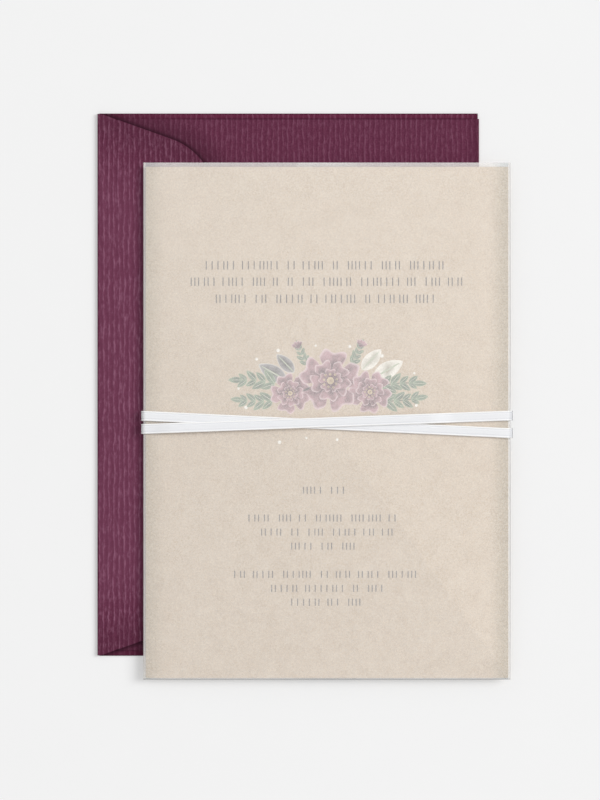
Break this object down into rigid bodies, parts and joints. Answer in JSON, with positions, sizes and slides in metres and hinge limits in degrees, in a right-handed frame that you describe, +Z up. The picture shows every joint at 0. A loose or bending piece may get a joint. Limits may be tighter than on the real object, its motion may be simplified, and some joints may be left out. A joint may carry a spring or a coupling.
{
  "type": "wedding invitation with envelope",
  "caption": "Flat invitation card in a folded translucent wrap, tied with a flat elastic loop and lying on its ribbed paper envelope.",
  "frame": {"origin": "centre of the underside of the envelope, on the surface that it lies on", "axes": "+Z up out of the paper, +Y to the top of the print along the long side of the card, +X from the fold of the envelope's closing flap to the opposite fold"},
  "size_m": [0.124, 0.1689, 0.0044],
  "materials": {
    "burgundy_paper": "ribbed matt",
    "kraft_card": "uncoated matt",
    "vellum": "translucent, faint sheen",
    "white_elastic": "woven matt"
  },
  "bodies": {
    "root": {"envelope": "burgundy_paper", "kraft_card": "kraft_card", "vellum_wrap": "vellum", "elastic_band": "white_elastic"}
  },
  "joints": []
}
